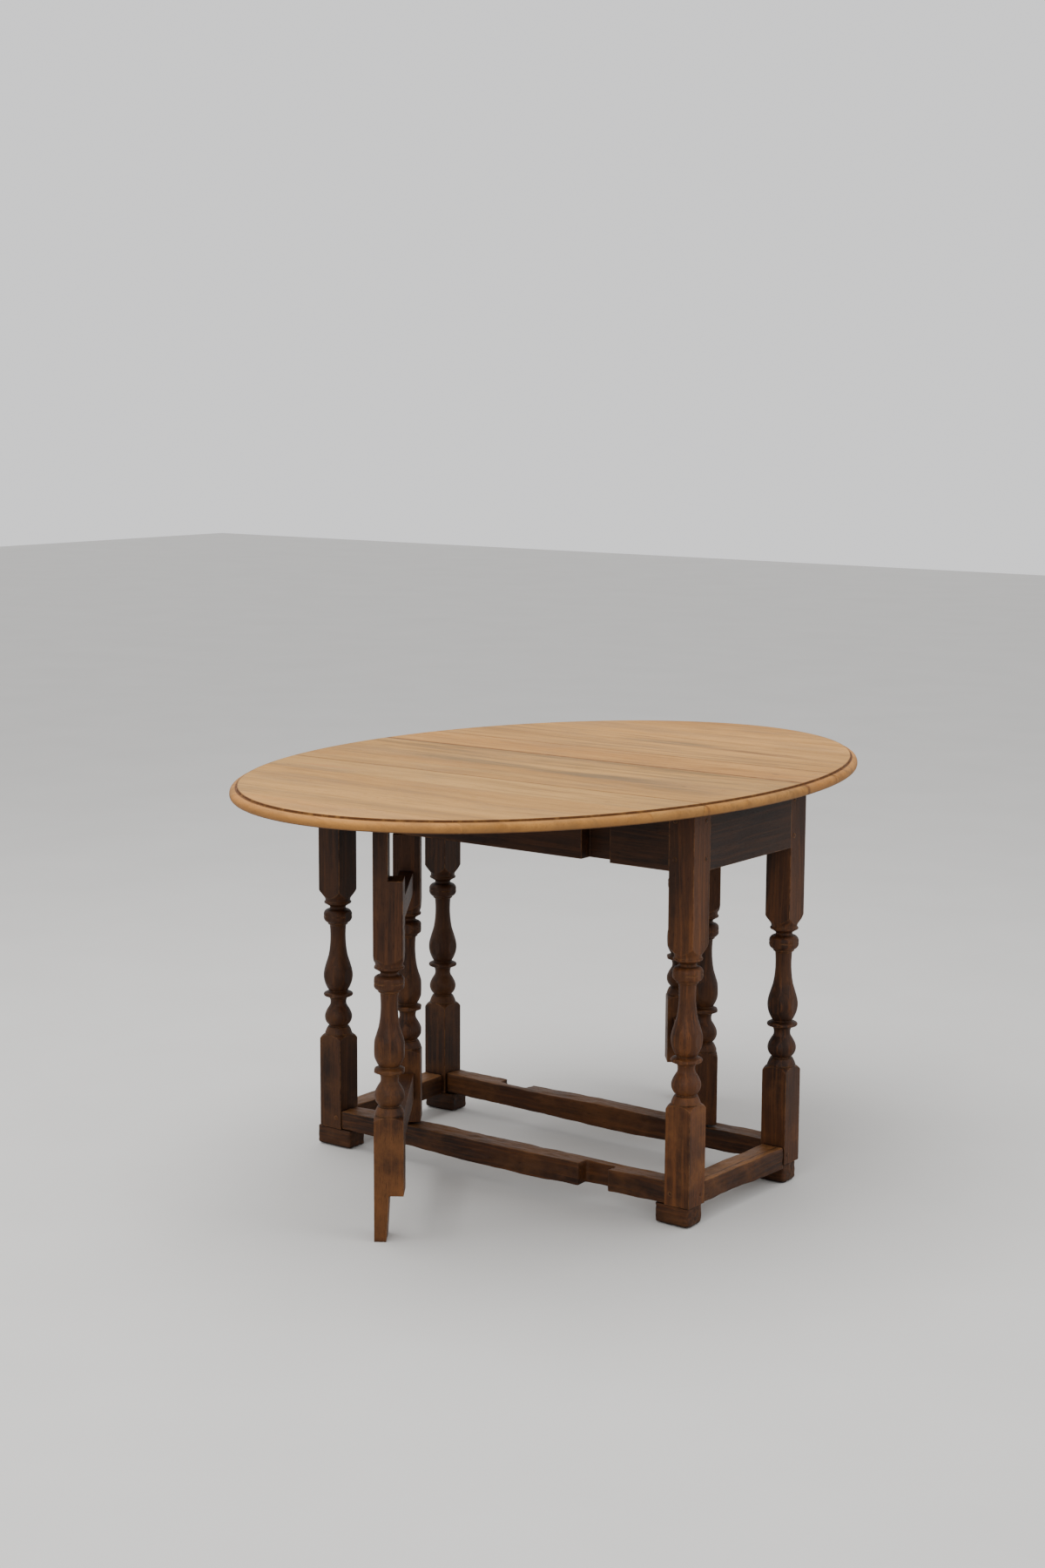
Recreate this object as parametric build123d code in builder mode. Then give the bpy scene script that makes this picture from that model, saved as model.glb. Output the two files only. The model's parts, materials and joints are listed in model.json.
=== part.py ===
"""Gateleg table: oval rule-jointed top on a turned and joined base with two swinging gates.

Frame: X runs along the long rails (the oval's short axis), Y along the leaves (the oval's
long axis), +Z up. The origin is on the floor under the middle of the table. Millimetres.
The gates stand open and the leaves are up.
"""

from build123d import *

import os
from math import cos, radians, sin, sqrt

os.makedirs("parts", exist_ok=True)

# Overall sizes
TABLE_HEIGHT = 720.0
TOP_THICKNESS = 20.0
TOP_HALF_X = 466.0
TOP_HALF_Y = 670.0
FRAME_LENGTH = 800.0
FRAME_WIDTH = 353.0
POST = 48.0

# Heights
UNDERSIDE = TABLE_HEIGHT - TOP_THICKNESS
FOOT_HEIGHT = 36.0
APRON_BOTTOM = 597.0
LONG_STRETCHER_BOTTOM = 36.0
LONG_STRETCHER_TOP = 76.0
STRETCHER_BELLY = 30.0
BELLY_HALF_LENGTH = 322.0
END_STRETCHER_BOTTOM = 31.0
END_STRETCHER_TOP = 74.0

# Rail sections
LONG_RAIL_THICKNESS = 44.0
END_APRON_THICKNESS = 26.0
END_STRETCHER_WIDTH = 44.0

# Mortise and tenon joints
TENON_THICKNESS = 10.0
TENON_LENGTH = 22.0
TENON_SETBACK = 12.0
TENON_SHOULDER = 8.0
PEG_RADIUS = 3.5
PEG_LENGTH = 28.0
PEG_PROUD = 0.4
PEG_FROM_EDGE = 20.0
DOWEL_RADIUS = 7.0
DOWEL_OFFSET = 10.0
DOWEL_LENGTH = 40.0

# Feet
FOOT_LENGTH = {(-1, -1): 77.0, (-1, 1): 68.0, (1, -1): 68.0, (1, 1): 68.0}
FOOT_WIDTH = 46.0
FOOT_CORNER = 5.0
FOOT_WEAR = 6.0
FOOT_INWARD = {(-1, -1): 6.0, (-1, 1): 8.0, (1, -1): 12.0, (1, 1): 12.0}

# Gates
GATE_PIVOT_X = 214.0
GATE_RADIUS = 424.0
NEAR_GATE_ANGLE = 54.8
FAR_GATE_ANGLE = 51.2
NOTCH_START = 178.0
NOTCH_LENGTH = 57.5
NOTCH_DEPTH = 24.5
LAP_TOP = 595.5
LAP_BOTTOM = 77.0
LAP_TAPER = 4.5
GATE_TOP_GAP = 1.0
GATE_RAIL_THICKNESS = 25.0
GATE_TENON_LENGTH = 28.0
UPPER_GATE_RAIL = (494.0, 531.0)
LOWER_GATE_RAIL = (118.0, 166.0)
PINTLE_RADIUS = 10.0
PINTLE_LENGTH = 20.0
PINTLE_CLEARANCE = 0.05
SHOULDER_GAP = 0.5

# Top: moulded rim and rule joints
MOULDING_WIDTH = 12.5
QUIRK_DEPTH = 3.5
RIM_UPPER_ROUND = 9.0
RIM_LOWER_ROUND = 6.0
QUIRK_ARRIS = 0.8
RULE_JOINT_Y = 202.0
RULE_RADIUS = 13.0
RULE_CLEARANCE = 0.6
RULE_FACE_GAP = 1.0
HINGE_AXIS_RISE = 3.0
CENTRE_JOINT_Y = 77.7
CENTRE_JOINT_GAP = 1.0
NEAR_LEAF_SEAMS = (314.0, 575.0)
FAR_LEAF_SEAMS = (420.0,)
PAST_RIM = 30.0

# Rule-joint hinges
HINGE_X = (-300.0, 0.0, 300.0)
HINGE_WIDTH = 32.0
FLAP_THICKNESS = 2.0
FLAP_INSET = 0.2
FIXED_FLAP = 36.0
LEAF_FLAP = 50.0
KNUCKLE_RADIUS = 3.0
KNUCKLE_ROOM = 0.6
KNUCKLE_SIDE = 1.0
FLAP_PLAY = 0.4
MIDDLE_KNUCKLE = 11.4
KNUCKLE_PLAY = 0.3
PIN_RADIUS = 1.5
PIN_CLEARANCE = 0.05
FLAP_ROOM = 1.2
SCREW_SPACING = 18.0
SCREW_RADIUS = 1.7
SCREW_HEAD_RADIUS = 3.4
SCREW_LENGTH = 12.0
SCREW_FIT = 0.05
SLOT_WIDTH = 0.8
SLOT_DEPTH = 0.9
FIXED_SCREW_Y = -22.0
LEAF_SCREW_Y = 36.0

# Turning: every element as (radius, height above the floor), from the lower block upwards
BLOCK_CUT_RADIUS = 36.0
LOWER_SHOULDER = ((BLOCK_CUT_RADIUS, 194.0), (33.0, 200.5), (26.2, 206.5))
SHOULDER_GROOVE = ((26.2, 206.5), (23.4, 207.6), (24.6, 209.4))
COVE = ((24.6, 209.4), (23.2, 213.5), (19.6, 221.0))
BALL_GROOVE = ((19.6, 221.0), (16.6, 222.4), (17.4, 224.2))
BALL = ((17.4, 224.2), (23.0, 231.5), (24.8, 240.0), (22.0, 250.0), (15.4, 261.0))
BALL_NECK = ((15.4, 261.0), (14.3, 267.5), (16.4, 275.0))
FLANGE_EDGE = ((25.4, 278.8), (26.6, 281.4), (25.2, 284.0))
VASE = ((16.8, 288.0), (23.2, 300.0), (26.4, 317.0), (23.6, 333.0), (17.4, 353.0))
VASE_NECK = ((17.4, 353.0), (14.6, 372.0), (13.8, 390.0), (14.8, 409.0))
RING_FILLET = ((14.8, 409.0), (18.2, 411.5), (18.2, 414.0))
RING_FOOT = ((18.2, 414.0), (24.2, 418.6), (25.6, 425.6))
RING_LINE = ((25.6, 425.6), (24.4, 426.6), (25.6, 427.6))
RING_HEAD = ((25.6, 427.6), (24.2, 434.2), (17.8, 438.6))
COLLAR_NECK = ((17.8, 438.6), (14.4, 442.2), (17.2, 445.8))
COLLAR = ((22.4, 449.2), (24.6, 451.4), (22.8, 453.6))
OGEE = ((22.8, 453.6), (22.6, 456.6), (24.4, 461.0))
UPPER_SHOULDER = ((24.4, 461.0), (27.8, 465.4), (33.2, 473.0), (BLOCK_CUT_RADIUS, 481.0))

# Glue blocks under the centre boards
BLOCK_SIDE = 24.0
BLOCK_LENGTH = 60.0
LONG_BLOCK_X = 150.0
END_BLOCK_Y = 62.0

# Worked out from the sizes above
HALF_LENGTH = FRAME_LENGTH / 2
HALF_WIDTH = FRAME_WIDTH / 2
LEG_X = HALF_LENGTH - POST / 2
LEG_Y = HALF_WIDTH - POST / 2
LEG_INNER_X = HALF_LENGTH - POST
LEG_INNER_Y = HALF_WIDTH - POST
APRON_PEGS = (APRON_BOTTOM + PEG_FROM_EDGE, UNDERSIDE - PEG_FROM_EDGE)
LONG_STRETCHER_PEG = (LONG_STRETCHER_BOTTOM + LONG_STRETCHER_TOP) / 2
END_STRETCHER_PEG = (END_STRETCHER_BOTTOM + END_STRETCHER_TOP) / 2
HINGE_AXIS_Z = UNDERSIDE + HINGE_AXIS_RISE
HINGE_FACE_Z = UNDERSIDE + FLAP_INSET
FLAP_TOP = HINGE_FACE_Z + FLAP_THICKNESS
SIDES = {"near": -1, "far": 1}
CORNERS = {
    "near_left": (-1, -1),
    "near_right": (1, -1),
    "far_left": (-1, 1),
    "far_right": (1, 1),
}
BOTTOM = (Align.CENTER, Align.CENTER, Align.MIN)


def save(builder, name):
    """Label a finished piece and write its STEP file."""
    builder.part.label = name
    export_step(builder.part, f"parts/{name}.step")


def box_between(x_range, y_range, z_range, mode=Mode.ADD, base=Plane.XY):
    """A box given by its ranges along the axes of a base plane."""
    middle = Location((sum(x_range) / 2, sum(y_range) / 2, sum(z_range) / 2))
    with Locations(base.location * middle):
        Box(
            x_range[1] - x_range[0],
            y_range[1] - y_range[0],
            z_range[1] - z_range[0],
            mode=mode,
        )


def span(a, b):
    """A range with its lower end first."""
    return (min(a, b), max(a, b))


def round_bar(base, radius, length, mode):
    """A round bar that starts on the base plane and runs along its normal."""
    with BuildSketch(base) as end:
        Circle(radius)
    extrude(end.sketch, amount=length, mode=mode)


# ---------------------------------------------------------------- turned posts


def turning(section, foot, head):
    """The lathe outline shared by every post, from its foot to its head."""
    with BuildSketch(section) as sketch:
        with BuildLine():
            Polyline((0, head), (0, foot), (BLOCK_CUT_RADIUS, foot), LOWER_SHOULDER[0])
            Spline(*LOWER_SHOULDER)
            Polyline(*SHOULDER_GROOVE)
            Spline(*COVE)
            Polyline(*BALL_GROOVE)
            Spline(*BALL)
            ThreePointArc(*BALL_NECK)
            Polyline(BALL_NECK[-1], FLANGE_EDGE[0])
            ThreePointArc(*FLANGE_EDGE)
            Polyline(FLANGE_EDGE[-1], VASE[0])
            Spline(*VASE)
            Spline(*VASE_NECK)
            Polyline(*RING_FILLET)
            ThreePointArc(*RING_FOOT)
            Polyline(*RING_LINE)
            ThreePointArc(*RING_HEAD)
            ThreePointArc(*COLLAR_NECK)
            Polyline(COLLAR_NECK[-1], COLLAR[0])
            ThreePointArc(*COLLAR)
            Spline(*OGEE)
            Spline(*UPPER_SHOULDER)
            Polyline(UPPER_SHOULDER[-1], (BLOCK_CUT_RADIUS, head), (0, head))
        make_face()
    return sketch.sketch


def add_turned_post(base, foot, head):
    """A square blank standing on the base plane, turned between its two square blocks."""
    section = Plane(origin=base.origin, x_dir=base.x_dir, z_dir=-base.y_dir)
    revolve(turning(section, foot, head), axis=Axis(base.origin, (0, 0, 1)))
    half = POST / 2
    box_between((-half, half), (-half, half), (foot, head), Mode.INTERSECT, base)


# ------------------------------------------------------------------ main frame

APRON_TENON = (APRON_BOTTOM + TENON_SHOULDER, UNDERSIDE - TENON_SHOULDER)
LONG_STRETCHER_TENON = (
    LONG_STRETCHER_BOTTOM + TENON_SHOULDER,
    LONG_STRETCHER_TOP - TENON_SHOULDER,
)
END_STRETCHER_TENON = (
    END_STRETCHER_BOTTOM + TENON_SHOULDER,
    END_STRETCHER_TOP - TENON_SHOULDER,
)


def long_tenon(side_x, side_y, z_range, mode=Mode.ADD):
    """Tenon of a long rail in one corner, or its mortise."""
    outer = HALF_WIDTH - TENON_SETBACK
    box_between(
        span(side_x * LEG_INNER_X, side_x * (LEG_INNER_X + TENON_LENGTH)),
        span(side_y * outer, side_y * (outer - TENON_THICKNESS)),
        z_range,
        mode,
    )


def end_tenon(side_x, side_y, z_range, mode=Mode.ADD):
    """Tenon of an end rail in one corner, or its mortise."""
    outer = HALF_LENGTH - TENON_SETBACK
    box_between(
        span(side_x * outer, side_x * (outer - TENON_THICKNESS)),
        span(side_y * LEG_INNER_Y, side_y * (LEG_INNER_Y + TENON_LENGTH)),
        z_range,
        mode,
    )


def long_pegs(side_x, side_y, heights, mode=Mode.ADD):
    """Pegs driven through a leg's long face into the long rail's tenon."""
    x = side_x * (LEG_INNER_X + TENON_LENGTH / 2)
    start = side_y * (HALF_WIDTH + PEG_PROUD)
    for z in heights:
        face = Plane(origin=(x, start, z), x_dir=(1, 0, 0), z_dir=(0, -side_y, 0))
        round_bar(face, PEG_RADIUS, PEG_LENGTH + PEG_PROUD, mode)


def end_pegs(side_x, side_y, heights, mode=Mode.ADD):
    """Pegs driven through a leg's end face into the end rail's tenon."""
    y = side_y * (LEG_INNER_Y + TENON_LENGTH / 2)
    start = side_x * (HALF_LENGTH + PEG_PROUD)
    for z in heights:
        face = Plane(origin=(start, y, z), x_dir=(0, 1, 0), z_dir=(-side_x, 0, 0))
        round_bar(face, PEG_RADIUS, PEG_LENGTH + PEG_PROUD, mode)


def dowel(side_x, side_y, mode=Mode.ADD):
    """Dowel between a leg and its foot, in the outer corner where it clears both tenons."""
    x = side_x * (LEG_X + DOWEL_OFFSET)
    y = side_y * (LEG_Y + DOWEL_OFFSET)
    base = Plane(origin=(x, y, FOOT_HEIGHT - DOWEL_LENGTH / 2))
    round_bar(base, DOWEL_RADIUS, DOWEL_LENGTH, mode)


for corner, (side_x, side_y) in CORNERS.items():
    with BuildPart() as leg:
        add_turned_post(Plane(origin=(side_x * LEG_X, side_y * LEG_Y, 0)), FOOT_HEIGHT, UNDERSIDE)
        for z_range in (APRON_TENON, LONG_STRETCHER_TENON):
            long_tenon(side_x, side_y, z_range, Mode.SUBTRACT)
        for z_range in (APRON_TENON, END_STRETCHER_TENON):
            end_tenon(side_x, side_y, z_range, Mode.SUBTRACT)
        long_pegs(side_x, side_y, (*APRON_PEGS, LONG_STRETCHER_PEG), Mode.SUBTRACT)
        end_pegs(side_x, side_y, (*APRON_PEGS, END_STRETCHER_PEG), Mode.SUBTRACT)
        dowel(side_x, side_y, Mode.SUBTRACT)
    save(leg, f"{corner}_leg")

    foot_x = side_x * (LEG_X - FOOT_INWARD[side_x, side_y])
    with BuildPart() as foot:
        with Locations((foot_x, side_y * LEG_Y, 0)):
            Box(FOOT_LENGTH[side_x, side_y], FOOT_WIDTH, FOOT_HEIGHT, align=BOTTOM)
        fillet(foot.edges().filter_by(Axis.Z), FOOT_CORNER)
        fillet(foot.edges().group_by(Axis.Z)[0], FOOT_WEAR)
        dowel(side_x, side_y, Mode.SUBTRACT)
    save(foot, f"{corner}_foot")

with BuildPart() as foot_dowels:
    for side_x, side_y in CORNERS.values():
        dowel(side_x, side_y)
save(foot_dowels, "foot_dowels")

with BuildPart() as frame_pegs:
    for side_x, side_y in CORNERS.values():
        long_pegs(side_x, side_y, (*APRON_PEGS, LONG_STRETCHER_PEG))
        end_pegs(side_x, side_y, (*APRON_PEGS, END_STRETCHER_PEG))
save(frame_pegs, "frame_pegs")


def long_rail(side_y, z_range, tenon, peg_heights, pivot_face, pivot_direction, belly=0.0):
    """A long apron or stretcher with its gate notch and pivot hole."""
    with BuildPart() as rail:
        outer = side_y * HALF_WIDTH
        inner = side_y * (HALF_WIDTH - LONG_RAIL_THICKNESS)
        low, high = z_range
        back = Plane(origin=(0, min(outer, inner), 0), x_dir=(1, 0, 0), z_dir=(0, 1, 0))
        with BuildSketch(back) as face:
            with BuildLine():
                # this plane's second axis points down
                Polyline(
                    (-BELLY_HALF_LENGTH, -low),
                    (-LEG_INNER_X, -low),
                    (-LEG_INNER_X, -high),
                    (LEG_INNER_X, -high),
                    (LEG_INNER_X, -low),
                    (BELLY_HALF_LENGTH, -low),
                )
                if belly:
                    start, end = (-BELLY_HALF_LENGTH, -low), (BELLY_HALF_LENGTH, -low)
                    ThreePointArc(start, (0, belly - low), end)
                else:
                    Line((-BELLY_HALF_LENGTH, -low), (BELLY_HALF_LENGTH, -low))
            make_face()
        extrude(face.sketch, amount=LONG_RAIL_THICKNESS)
        for side_x in (-1, 1):
            long_tenon(side_x, side_y, tenon)
            long_pegs(side_x, side_y, peg_heights, Mode.SUBTRACT)
        # housing for the swinging leg, on the far end of the rail from its pivot
        notch = span(-side_y * NOTCH_START, -side_y * (NOTCH_START + NOTCH_LENGTH))
        reach = (low - belly, high)
        box_between(notch, span(outer, outer - side_y * NOTCH_DEPTH), reach, Mode.SUBTRACT)
        # hole for the gate's round pintle
        pivot = Plane(
            origin=(side_y * GATE_PIVOT_X, side_y * LEG_Y, pivot_face),
            x_dir=(1, 0, 0),
            z_dir=(0, 0, pivot_direction),
        )
        hole = PINTLE_LENGTH + SHOULDER_GAP
        round_bar(pivot, PINTLE_RADIUS + PINTLE_CLEARANCE, hole, Mode.SUBTRACT)
    return rail


def end_rail(side_x, thickness, z_range, tenon, peg_heights):
    """An end apron or end stretcher between two legs."""
    with BuildPart() as rail:
        outer = side_x * HALF_LENGTH
        inner = side_x * (HALF_LENGTH - thickness)
        box_between(span(outer, inner), (-LEG_INNER_Y, LEG_INNER_Y), z_range)
        for side_y in (-1, 1):
            end_tenon(side_x, side_y, tenon)
            end_pegs(side_x, side_y, peg_heights, Mode.SUBTRACT)
    return rail


for side, side_y in SIDES.items():
    apron = long_rail(side_y, (APRON_BOTTOM, UNDERSIDE), APRON_TENON, APRON_PEGS, APRON_BOTTOM, 1)
    save(apron, f"{side}_apron")
    stretcher = long_rail(
        side_y,
        (LONG_STRETCHER_BOTTOM, LONG_STRETCHER_TOP),
        LONG_STRETCHER_TENON,
        (LONG_STRETCHER_PEG,),
        LONG_STRETCHER_TOP,
        -1,
        LONG_STRETCHER_BOTTOM - STRETCHER_BELLY,
    )
    save(stretcher, f"{side}_stretcher")

for side, side_x in {"left": -1, "right": 1}.items():
    apron = end_rail(side_x, END_APRON_THICKNESS, (APRON_BOTTOM, UNDERSIDE), APRON_TENON, APRON_PEGS)
    save(apron, f"{side}_end_apron")
    stretcher = end_rail(
        side_x,
        END_STRETCHER_WIDTH,
        (END_STRETCHER_BOTTOM, END_STRETCHER_TOP),
        END_STRETCHER_TENON,
        (END_STRETCHER_PEG,),
    )
    save(stretcher, f"{side}_end_stretcher")

with BuildPart() as glue_blocks:
    block_z = (UNDERSIDE - BLOCK_SIDE, UNDERSIDE)
    rail_face = HALF_WIDTH - LONG_RAIL_THICKNESS
    end_face = HALF_LENGTH - END_APRON_THICKNESS
    for side_x, side_y in CORNERS.values():
        along = span(
            side_x * (LONG_BLOCK_X - BLOCK_LENGTH / 2), side_x * (LONG_BLOCK_X + BLOCK_LENGTH / 2)
        )
        box_between(along, span(side_y * rail_face, side_y * (rail_face - BLOCK_SIDE)), block_z)
        across = span(
            side_y * (END_BLOCK_Y - BLOCK_LENGTH / 2), side_y * (END_BLOCK_Y + BLOCK_LENGTH / 2)
        )
        box_between(span(side_x * end_face, side_x * (end_face - BLOCK_SIDE)), across, block_z)
save(glue_blocks, "glue_blocks")

# ----------------------------------------------------------------------- gates

GATE_PLANES = {
    "near": Plane(
        origin=(-GATE_PIVOT_X, -LEG_Y, 0),
        x_dir=(cos(radians(NEAR_GATE_ANGLE)), -sin(radians(NEAR_GATE_ANGLE)), 0),
        z_dir=(0, 0, 1),
    ),
    "far": Plane(
        origin=(GATE_PIVOT_X, LEG_Y, 0),
        x_dir=(-cos(radians(FAR_GATE_ANGLE)), sin(radians(FAR_GATE_ANGLE)), 0),
        z_dir=(0, 0, 1),
    ),
}
POST_FOOT = LONG_STRETCHER_TOP + SHOULDER_GAP
POST_HEAD = APRON_BOTTOM - SHOULDER_GAP
RAIL_START = POST / 2
RAIL_END = GATE_RADIUS - POST / 2
HALF_RAIL = GATE_RAIL_THICKNESS / 2
HALF_TENON = TENON_THICKNESS / 2
GATE_PEG_X = (GATE_TENON_LENGTH / 2, GATE_RADIUS - GATE_TENON_LENGTH / 2)


def gate_tenons(base, rail, ends, mode=Mode.ADD):
    """The tenons of one gate rail, or their mortises: 0 is at the pivot, 1 at the leg."""
    z_range = (rail[0] + TENON_SHOULDER / 2, rail[1] - TENON_SHOULDER / 2)
    reach = {
        0: (RAIL_START - GATE_TENON_LENGTH, RAIL_START),
        1: (RAIL_END, RAIL_END + GATE_TENON_LENGTH),
    }
    for end in ends:
        box_between(reach[end], (-HALF_TENON, HALF_TENON), z_range, mode, base)


def gate_pegs(base, rails, ends, mode=Mode.ADD):
    """Pegs through the gate's posts and tenons."""
    length = POST + 2 * PEG_PROUD
    for rail in rails:
        for end in ends:
            start = base.location * Location((GATE_PEG_X[end], -length / 2, sum(rail) / 2))
            face = Plane(origin=start.position, x_dir=base.x_dir, z_dir=base.y_dir)
            round_bar(face, PEG_RADIUS, length, mode)


GATE_RAILS = {"upper": UPPER_GATE_RAIL, "lower": LOWER_GATE_RAIL}

for side, base in GATE_PLANES.items():
    with BuildPart() as pivot_post:
        add_turned_post(base, POST_FOOT, POST_HEAD)
        foot_pintle = base.offset(POST_FOOT - PINTLE_LENGTH)
        round_bar(foot_pintle, PINTLE_RADIUS, PINTLE_LENGTH, Mode.ADD)
        round_bar(base.offset(POST_HEAD), PINTLE_RADIUS, PINTLE_LENGTH, Mode.ADD)
        for rail in GATE_RAILS.values():
            gate_tenons(base, rail, (0,), Mode.SUBTRACT)
        gate_pegs(base, GATE_RAILS.values(), (0,), Mode.SUBTRACT)
    save(pivot_post, f"{side}_pivot_post")

    leg_base = Plane(base.location * Location((GATE_RADIUS, 0, 0)))
    half = POST / 2
    with BuildPart() as gate_leg:
        add_turned_post(leg_base, 0, UNDERSIDE - GATE_TOP_GAP)
        # the half that faces the frame is cut back to clear the apron and the stretcher
        box_between((-half, half), (0, half), (LAP_TOP, UNDERSIDE), Mode.SUBTRACT, leg_base)
        with BuildSketch(Plane(origin=leg_base.origin, x_dir=base.y_dir, z_dir=base.x_dir)) as lap:
            with BuildLine():
                Polyline(
                    (half, LAP_BOTTOM), (0, LAP_BOTTOM), (-LAP_TAPER, 0), (half, 0), (half, LAP_BOTTOM)
                )
            make_face()
        extrude(lap.sketch, amount=half, both=True, mode=Mode.SUBTRACT)
        for rail in GATE_RAILS.values():
            gate_tenons(base, rail, (1,), Mode.SUBTRACT)
        gate_pegs(base, GATE_RAILS.values(), (1,), Mode.SUBTRACT)
    save(gate_leg, f"{side}_gate_leg")

    for name, rail in GATE_RAILS.items():
        with BuildPart() as gate_rail:
            box_between((RAIL_START, RAIL_END), (-HALF_RAIL, HALF_RAIL), rail, base=base)
            gate_tenons(base, rail, (0, 1))
            gate_pegs(base, (rail,), (0, 1), Mode.SUBTRACT)
        save(gate_rail, f"{side}_gate_{name}_rail")

    with BuildPart() as pegs:
        gate_pegs(base, GATE_RAILS.values(), (0, 1))
    save(pegs, f"{side}_gate_pegs")

# ------------------------------------------------------------------------- top

HINGES = dict(zip(("left", "middle", "right"), HINGE_X))
FLAP_RANGE = (HINGE_FACE_Z - HINGE_AXIS_Z, FLAP_TOP - HINGE_AXIS_Z)
POCKET_FLOOR = UNDERSIDE - HINGE_AXIS_Z - FLAP_THICKNESS
HALF_HINGE = HINGE_WIDTH / 2
HALF_MIDDLE = MIDDLE_KNUCKLE / 2
OUTER_KNUCKLES = (
    (-HALF_HINGE, -HALF_MIDDLE - KNUCKLE_PLAY),
    (HALF_MIDDLE + KNUCKLE_PLAY, HALF_HINGE),
)


def hinge_base(side_y, x):
    """Plane on a hinge's pin axis: local x along the pin, local y out towards the leaf."""
    origin = (x, side_y * RULE_JOINT_Y, HINGE_AXIS_Z)
    return Plane(origin=origin, x_dir=(side_y, 0, 0), z_dir=(0, 0, 1))


def barrel(base, x_range, radius, mode=Mode.ADD):
    """A round bar along a hinge's pin axis."""
    start = base.location * Location((x_range[0], 0, 0))
    end = Plane(origin=start.position, x_dir=base.y_dir, z_dir=base.x_dir)
    round_bar(end, radius, x_range[1] - x_range[0], mode)


def screws(base, y, growth=0.0, mode=Mode.ADD):
    """The two countersunk screws of one flap, or their holes."""
    for x in (-SCREW_SPACING / 2, SCREW_SPACING / 2):
        with Locations(base.location * Location((x, y, FLAP_RANGE[0]))):
            Cone(
                SCREW_HEAD_RADIUS + growth,
                SCREW_RADIUS + growth,
                FLAP_THICKNESS,
                align=BOTTOM,
                mode=mode,
            )
            Cylinder(SCREW_RADIUS + growth, SCREW_LENGTH + growth, align=BOTTOM, mode=mode)
            if mode == Mode.ADD:
                Box(2 * SCREW_HEAD_RADIUS, SLOT_WIDTH, 2 * SLOT_DEPTH, mode=Mode.SUBTRACT)


def rule_section(side_y, edge, face, radius):
    """Cross-section of a board with one glue edge and one quarter-round joint edge.

    The edge and the joint's upright face are given as world Y; the round is struck from
    the pin axis.
    """
    crown = HINGE_AXIS_Z + sqrt(radius**2 - (abs(face) - RULE_JOINT_Y) ** 2)
    heel = side_y * (RULE_JOINT_Y + radius)
    bend = side_y * (RULE_JOINT_Y + radius * cos(radians(45)))
    with BuildSketch(Plane.YZ) as section:
        with BuildLine():
            Polyline((heel, HINGE_AXIS_Z), (heel, UNDERSIDE), (edge, UNDERSIDE))
            Polyline((edge, UNDERSIDE), (edge, TABLE_HEIGHT), (face, TABLE_HEIGHT), (face, crown))
            ThreePointArc(
                (face, crown),
                (bend, HINGE_AXIS_Z + radius * sin(radians(45))),
                (heel, HINGE_AXIS_Z),
            )
        make_face()
    return section.sketch


def plain_section(side_y, inner, outer):
    """Cross-section of a board with two square glue edges."""
    with BuildSketch(Plane.YZ) as section:
        with Locations((side_y * (inner + outer) / 2, UNDERSIDE + TOP_THICKNESS / 2)):
            Rectangle(outer - inner, TOP_THICKNESS)
    return section.sketch


def add_oval_board(board, section):
    """One board of the top: its cross-section run along the grain and sawn to the oval."""
    with BuildSketch(Plane.XY.offset(UNDERSIDE)) as outline:
        Ellipse(TOP_HALF_X, TOP_HALF_Y)
    extrude(outline.sketch, amount=TOP_THICKNESS - QUIRK_DEPTH)
    fillet(board.edges().sort_by(Axis.Z)[-1], RIM_UPPER_ROUND)
    fillet(board.edges().sort_by(Axis.Z)[0], RIM_LOWER_ROUND)
    with BuildSketch(Plane.XY.offset(UNDERSIDE)) as field:
        Ellipse(TOP_HALF_X - MOULDING_WIDTH, TOP_HALF_Y - MOULDING_WIDTH)
    extrude(field.sketch, amount=TOP_THICKNESS)
    fillet(board.edges().sort_by(Axis.Z)[-1], QUIRK_ARRIS)
    extrude(section, amount=TOP_HALF_X + PAST_RIM, both=True, mode=Mode.INTERSECT)


for side, side_y in SIDES.items():
    centre = rule_section(
        side_y,
        CENTRE_JOINT_Y + side_y * CENTRE_JOINT_GAP / 2,
        side_y * RULE_JOINT_Y,
        RULE_RADIUS,
    )
    with BuildPart() as centre_board:
        add_oval_board(centre_board, centre)
        for x in HINGES.values():
            base = hinge_base(side_y, x)
            width = (-HALF_HINGE, HALF_HINGE)
            room = (-HALF_HINGE - KNUCKLE_SIDE, HALF_HINGE + KNUCKLE_SIDE)
            # shallow housing for the fixed flap
            flap_y = (-FIXED_FLAP, 0)
            box_between(width, flap_y, (POCKET_FLOOR, FLAP_RANGE[1]), Mode.SUBTRACT, base)
            # room for the knuckles, and for the leaf's flap to move under the ovolo
            knuckle_y = (-KNUCKLE_RADIUS - KNUCKLE_ROOM, RULE_RADIUS + KNUCKLE_SIDE)
            flap_z = (POCKET_FLOOR, FLAP_RANGE[1] + FLAP_ROOM)
            box_between(room, knuckle_y, flap_z, Mode.SUBTRACT, base)
            barrel(base, room, KNUCKLE_RADIUS + KNUCKLE_ROOM, Mode.SUBTRACT)
            screws(base, FIXED_SCREW_Y, SCREW_FIT, Mode.SUBTRACT)
    save(centre_board, f"{side}_centre_board")

LEAF_BOARDS = {
    "near": ("inner", "middle", "outer"),
    "far": ("inner", "outer"),
}
LEAF_SEAMS = {"near": NEAR_LEAF_SEAMS, "far": FAR_LEAF_SEAMS}

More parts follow.
